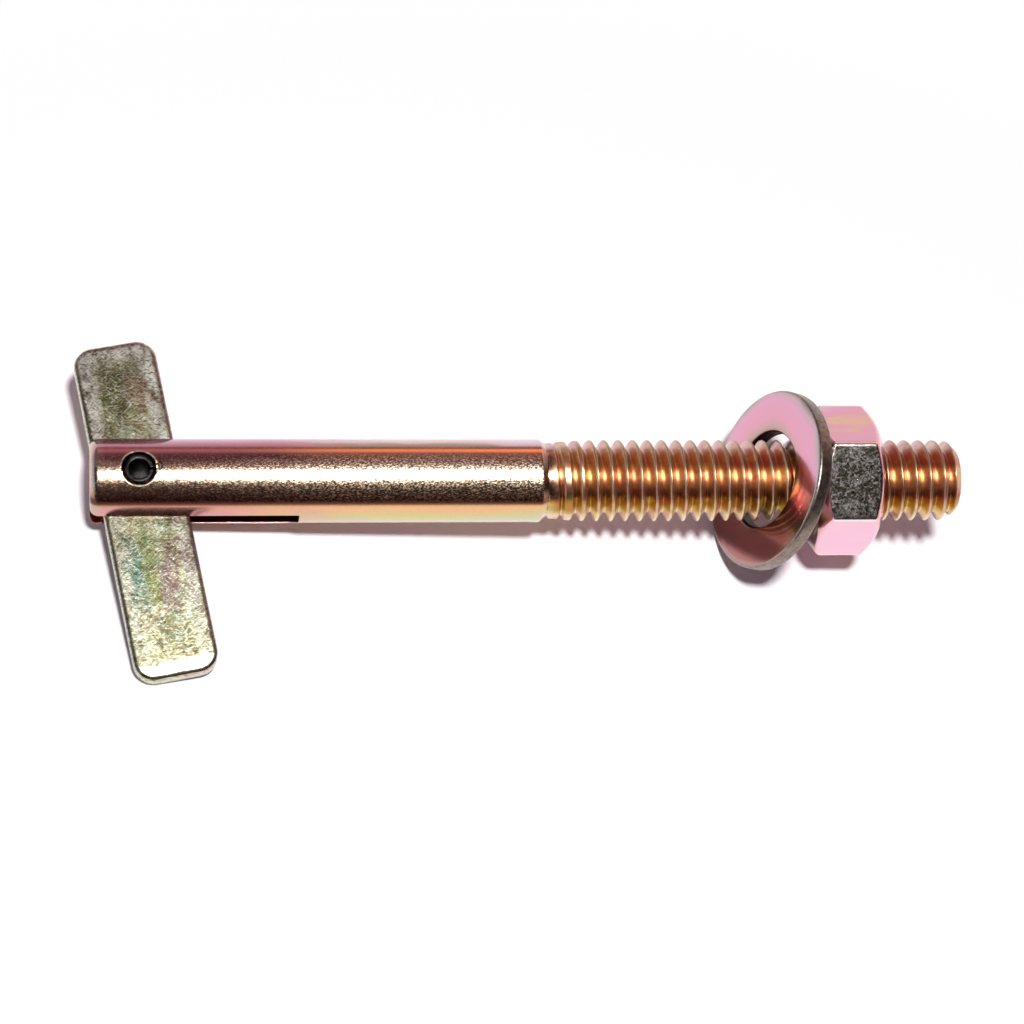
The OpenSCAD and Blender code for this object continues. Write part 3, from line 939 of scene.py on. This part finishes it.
def paper():
    """White card that the bolt lies on: lit by the lamp around the bolt, and plain white further away."""
    material, n = new_material("white_card")
    own = n.own_place(Matrix.Identity(4))
    shader = n.add("BsdfPrincipled")
    card = n.mix(n.noise(own, 0.8), (0.94, 0.915, 0.94), (0.96, 0.935, 0.96))
    n.feed(shader.inputs["Base Color"], card)
    shader.inputs["Roughness"].default_value = 0.9
    shader.inputs["Specular IOR Level"].default_value = 0.0
    path = n.add("LightPath").outputs
    mirrored = n.math("MAXIMUM", path["Is Glossy Ray"], path["Is Transmission Ray"])
    seen = n.math("MAXIMUM", path["Is Camera Ray"], mirrored)
    from_bolt = n.vector("LENGTH", n.vector("MULTIPLY", own, (0.65, 1.0, 0.0)))
    away = n.span(from_bolt, WHITE_FROM_MM, WHITE_AT_MM)
    white = n.add("Emission")
    white.inputs["Strength"].default_value = 1.0
    both = n.add("MixShader", n.times(seen, away), shader.outputs[0], white.outputs[0])
    n.add("OutputMaterial", both.outputs[0])
    return material


def make_floor():
    """Wide sheet of card under the bolt."""
    half = FLOOR_SIZE / 2
    corners = [(-half, -half, 0), (half, -half, 0), (half, half, 0), (-half, half, 0)]
    mesh = bpy.data.meshes.new("floor")
    mesh.from_pydata(corners, [], [(0, 1, 2, 3)])
    floor = bpy.data.objects.new("floor", mesh)
    bpy.context.scene.collection.objects.link(floor)
    mesh.materials.append(paper())


def make_camera(bolt):
    """Camera at the photograph's angle, from its turn about a point on the stud's axis."""
    tilted = Matrix.Rotation(CAMERA_ROLL, 4, "Z") @ Matrix.Rotation(CAMERA_TILT, 4, "X")
    turn = tilted @ Matrix.Rotation(CAMERA_PAN, 4, "Y")
    aim = Matrix.Translation((-CAMERA_AIM_X * MM, 0, 0))
    seen_from_bolt = Matrix.Translation(CAMERA_SHIFT_MM * MM) @ turn @ aim
    data = bpy.data.cameras.new("camera")
    data.sensor_width = SENSOR_MM
    data.lens = FOCAL_PX / IMAGE_PX * SENSOR_MM
    data.clip_start = 0.01
    camera = bpy.data.objects.new("camera", data)
    bpy.context.scene.collection.objects.link(camera)
    camera.matrix_world = bolt @ seen_from_bolt.inverted()
    bpy.context.scene.camera = camera


def make_lamp():
    """Round lamp above the bolt, slightly to the near side."""
    data = bpy.data.lights.new("lamp", "AREA")
    data.shape = "DISK"
    data.size = LAMP_SIZE_MM * MM
    data.energy = LAMP_WATTS
    lamp = bpy.data.objects.new("lamp", data)
    bpy.context.scene.collection.objects.link(lamp)
    lamp.location = LAMP_MM * MM
    lamp.rotation_euler = LAMP_MM.to_track_quat("Z", "Y").to_euler()


def make_room():
    """Dim room with a white backdrop and a warm strip on the far side, and a cool wall on the left."""
    world = bpy.data.worlds.new("room")
    bpy.context.scene.world = world
    world.use_nodes = True
    n = Nodes(world.node_tree)
    x, y, z = n.axes(n.add("TexCoord").outputs["Generated"])
    colour = n.ramp(n.span(y, -0.6, 0.8), ROOM_TINTS)
    backdrop = n.times(n.span(z, 0.26, 0.16), n.span(y, 0.05, 0.35))
    colour = n.mix(backdrop, colour, (0.88, 0.82, 0.94))
    side = n.times(n.span(z, 0.60, 0.40), n.span(x, -0.60, -0.85))
    colour = n.mix(side, colour, (0.58, 0.67, 0.95))
    from_strip = n.math("ABSOLUTE", n.math("SUBTRACT", z, STRIP_HEIGHT))
    strip = n.times(n.span(from_strip, 0.14, 0.07), n.span(y, 0.3, 0.6), n.span(x, -0.2, 0.4))
    colour = n.mix(strip, colour, (1.8, 1.15, 0.88))
    shade = n.add("Background", colour)
    n.add("OutputWorld", shade.outputs[0])


with open("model.json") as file:
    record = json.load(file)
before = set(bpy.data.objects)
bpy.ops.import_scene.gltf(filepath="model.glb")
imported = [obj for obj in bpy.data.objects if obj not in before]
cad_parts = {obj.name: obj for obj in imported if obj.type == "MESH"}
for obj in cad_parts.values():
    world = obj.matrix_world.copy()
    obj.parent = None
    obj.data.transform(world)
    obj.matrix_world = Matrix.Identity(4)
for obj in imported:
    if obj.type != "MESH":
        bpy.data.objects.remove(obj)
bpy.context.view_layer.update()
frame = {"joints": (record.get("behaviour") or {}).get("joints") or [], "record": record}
joints = {joint["name"]: joint for joint in frame["joints"]}
mounts = {mount["name"]: mount for mount in frame["record"]["mounts"]}

# The places of the pieces: the stud's from its pivot, the bar's and the washer's from the faces they bear on
stud_axis = Vector(joints["washer_slide"]["axis"])
pin_axis = -Vector(joints["toggle_pivot"]["axis"])
pivot = Vector(joints["toggle_pivot"]["pos_m"])
bolt = frame_of(pivot - stud_axis * PIVOT_FROM_TIP * MM, stud_axis, pin_axis)
pin_place = frame_of(pivot, stud_axis, pin_axis)
bar_across = Vector(mounts["toggle_bearing_edge"]["axis"])
bar_place = frame_of(pivot, bar_across.cross(pin_axis), pin_axis)
washer_face = mounts["washer_clamp_face"]
washer_normal = Vector(washer_face["axis"])
washer_middle = Vector(washer_face["pos_m"]) - washer_normal * WASHER_THICKNESS / 2 * MM
washer_place = frame_of(washer_middle, washer_normal, Vector((0, 1, 0)))
nut_start = Vector(joints["nut_turn"]["pos_m"]) - stud_axis * NUT_HEIGHT / 2 * MM
nut_place = frame_of(nut_start, stud_axis, pin_axis) @ Matrix.Rotation(NUT_TURN, 4, "X")

stud = make_stud()
finish_piece(stud, bolt, "slotted_stud", "stud", stud_plating(bolt))
set_normals(stud, bolt)
finish_piece(make_bar(), bar_place, "toggle_bar", "toggle", bar_plating(bar_place))
finish_piece(make_pin(), pin_place, "spring_pin", "stud", dark_steel(pin_place))
washer_finish = washer_plating(washer_place)
finish_piece(make_washer(), washer_place, "flat_washer", "washer", washer_finish)
finish_piece(make_nut(), nut_place, "hex_nut", "nut", nut_plating(nut_place))

make_floor()
make_camera(bolt)
make_lamp()
make_room()
bpy.context.scene.view_settings.view_transform = "Standard"
